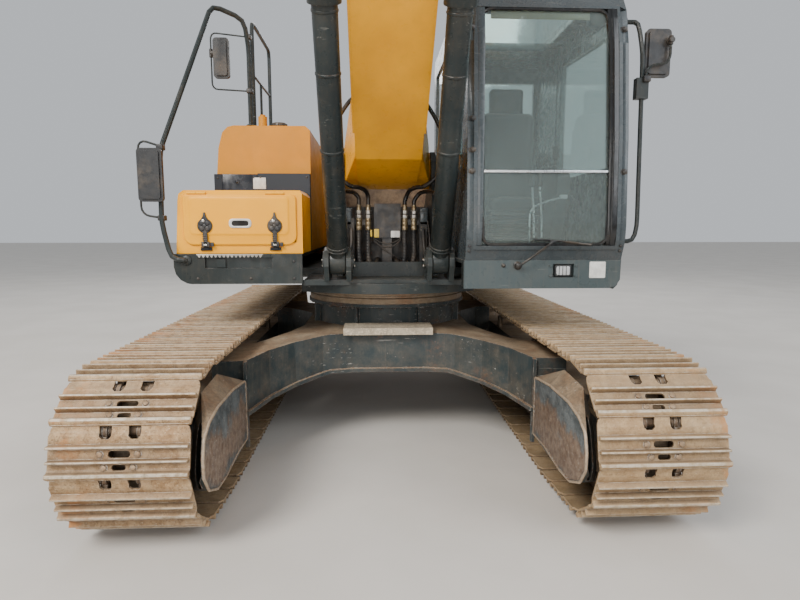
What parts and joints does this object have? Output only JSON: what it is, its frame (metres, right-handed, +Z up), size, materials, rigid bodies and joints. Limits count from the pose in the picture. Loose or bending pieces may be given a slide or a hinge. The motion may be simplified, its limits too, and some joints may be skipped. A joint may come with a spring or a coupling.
{
  "type": "crawler excavator",
  "caption": "Tracked hydraulic excavator with slewing cab and house, two-piece digging arm, bucket and opening doors.",
  "frame": {"origin": "on the ground, under the middle of the overall box", "axes": "+Z up, machine faces -Y, its left side with the cab toward +X"},
  "size_m": [3.264, 11.0249, 4.3166],
  "materials": {
    "painted_dark": "dark grey-green paint, worn",
    "painted_orange": "orange paint, dusty",
    "painted_yellow": "yellow paint, dusty",
    "bare_steel": "worn dusty steel",
    "iron": "cast, dusty",
    "chromed": "chromed rod",
    "window": "tinted glass",
    "black_plastic": "matt black"
  },
  "bodies": {
    "undercarriage": {"carbody": "painted_dark", "slew_ring": "bare_steel", "front_step": "bare_steel", "track_frames": "painted_dark", "track_left": "bare_steel", "track_right": "bare_steel", "idlers": "iron", "sprockets": "iron", "lower_rollers": "iron", "carrier_rollers": "iron", "travel_motors": "painted_dark"},
    "upper_structure": {"revolving_frame": "painted_dark", "side_skirts": "painted_dark", "counterweight": "painted_orange", "engine_block": "iron", "fuel_tank": "painted_orange", "hydraulic_tank": "painted_orange", "house_panels": "painted_orange", "toolbox": "painted_yellow", "handrails": "painted_dark", "mirrors": "black_plastic", "cab_shell": "painted_dark", "cab_glass": "window", "operator_seat": "black_plastic", "exhaust": "bare_steel", "valve_cover": "black_plastic", "boom_hoses": "black_plastic"},
    "cab_door": {"cab_door": "painted_dark", "door_glass": "window"},
    "toolbox_lid": {"toolbox_lid": "painted_yellow"},
    "engine_hood": {"engine_hood": "painted_orange"},
    "pump_door": {"pump_door": "painted_orange"},
    "cooler_door": {"cooler_door": "painted_orange"},
    "boom": {"boom": "painted_orange", "arm_hoses": "black_plastic"},
    "boom_barrels": {"boom_barrels": "painted_dark"},
    "boom_rods": {"boom_rods": "chromed"},
    "arm": {"arm": "painted_orange"},
    "arm_barrel": {"arm_barrel": "painted_orange"},
    "arm_rod": {"arm_rod": "chromed"},
    "bucket_barrel": {"bucket_barrel": "painted_orange"},
    "bucket_rod": {"bucket_rod": "chromed"},
    "rocker_links": {"rocker_links": "painted_orange"},
    "push_link": {"push_link": "painted_orange"},
    "bucket": {"bucket": "painted_dark"}
  },
  "joints": [
    {"name": "slew", "type": "hinge", "parent": "undercarriage", "child": "upper_structure", "pos_m": [0, 2.7, 1.031], "axis": [0, 0, 1], "continuous": true},
    {"name": "boom_lift", "type": "hinge", "parent": "upper_structure", "child": "boom", "pos_m": [0, 2.4, 1.9], "axis": [-1, 0, 0], "range_deg": [-43, 52], "deforming": ["boom_hoses"]},
    {"name": "boom_barrel_tilt", "type": "hinge", "parent": "upper_structure", "child": "boom_barrels", "pos_m": [0, 1.8, 1.255], "axis": [-1, 0, 0], "range_deg": [-39.67, 47.96]},
    {"name": "boom_rod_slide", "type": "slide", "parent": "boom_barrels", "child": "boom_rods", "axis": [0, -0.5149, 0.8573], "range_m": [-0.5713, 0.6905]},
    {"name": "arm_crowd", "type": "hinge", "parent": "boom", "child": "arm", "pos_m": [0, -3.09156, 3.35093], "axis": [1, 0, 0], "range_deg": [-24, 94], "deforming": ["arm_hoses"]},
    {"name": "arm_barrel_tilt", "type": "hinge", "parent": "boom", "child": "arm_barrel", "pos_m": [0, -0.26999, 4.12589], "axis": [1, 0, 0], "range_deg": [-0.94, 3.4]},
    {"name": "arm_rod_slide", "type": "slide", "parent": "arm_barrel", "child": "arm_rod", "axis": [0, -0.9998, 0.0188], "range_m": [-0.3243, 1.2643]},
    {"name": "bucket_curl", "type": "hinge", "parent": "arm", "child": "bucket", "pos_m": [0, -5.0034, 1.14384], "axis": [1, 0, 0], "range_deg": [-106, 67]},
    {"name": "bucket_barrel_tilt", "type": "hinge", "parent": "arm", "child": "bucket_barrel", "pos_m": [0, -3.85126, 3.26812], "axis": [1, 0, 0], "range_deg": [-1.87, 1.22]},
    {"name": "bucket_rod_slide", "type": "slide", "parent": "bucket_barrel", "child": "bucket_rod", "axis": [0, -0.6566, -0.7542], "range_m": [-0.6436, 0.4075]},
    {"name": "rocker_swing", "type": "hinge", "parent": "arm", "child": "rocker_links", "pos_m": [0, -4.76317, 1.45172], "axis": [1, 0, 0], "range_deg": [-71.15, 45.01]},
    {"name": "push_link_swing", "type": "hinge", "parent": "rocker_links", "child": "push_link", "pos_m": [0, -5.38023, 1.51201], "axis": [1, 0, 0], "range_deg": [-16.67, 26.31]},
    {"name": "cab_door_swing", "type": "hinge", "parent": "upper_structure", "child": "cab_door", "pos_m": [1.422, 2.664, 2], "axis": [0, 0, 1], "range_deg": [0, 120]},
    {"name": "toolbox_lid_swing", "type": "hinge", "parent": "upper_structure", "child": "toolbox_lid", "pos_m": [0, 1.81, 1.7], "axis": [-1, 0, 0], "range_deg": [0, 100]},
    {"name": "hood_swing", "type": "hinge", "parent": "upper_structure", "child": "engine_hood", "pos_m": [0, 3.932, 2.164], "axis": [1, 0, 0], "range_deg": [0, 60]},
    {"name": "pump_door_swing", "type": "hinge", "parent": "upper_structure", "child": "pump_door", "pos_m": [-1.396, 3.926, 1.7], "axis": [0, 0, 1], "range_deg": [0, 100]},
    {"name": "cooler_door_swing", "type": "hinge", "parent": "upper_structure", "child": "cooler_door", "pos_m": [1.396, 4.72, 1.7], "axis": [0, 0, 1], "range_deg": [0, 100]}
  ],
  "couplings": [
    {"joint": "boom_barrel_tilt", "follows": "boom_lift", "ratio": 0.9203},
    {"joint": "boom_rod_slide", "follows": "boom_lift", "m_per_rad": 0.7586},
    {"joint": "arm_barrel_tilt", "follows": "arm_crowd", "ratio": 0.0351},
    {"joint": "arm_rod_slide", "follows": "arm_crowd", "m_per_rad": 0.7694},
    {"joint": "bucket_barrel_tilt", "follows": "bucket_curl", "ratio": 0.0167},
    {"joint": "bucket_rod_slide", "follows": "bucket_curl", "m_per_rad": 0.3468},
    {"joint": "rocker_swing", "follows": "bucket_curl", "ratio": 0.6703},
    {"joint": "push_link_swing", "follows": "bucket_curl", "ratio": -0.2473}
  ]
}
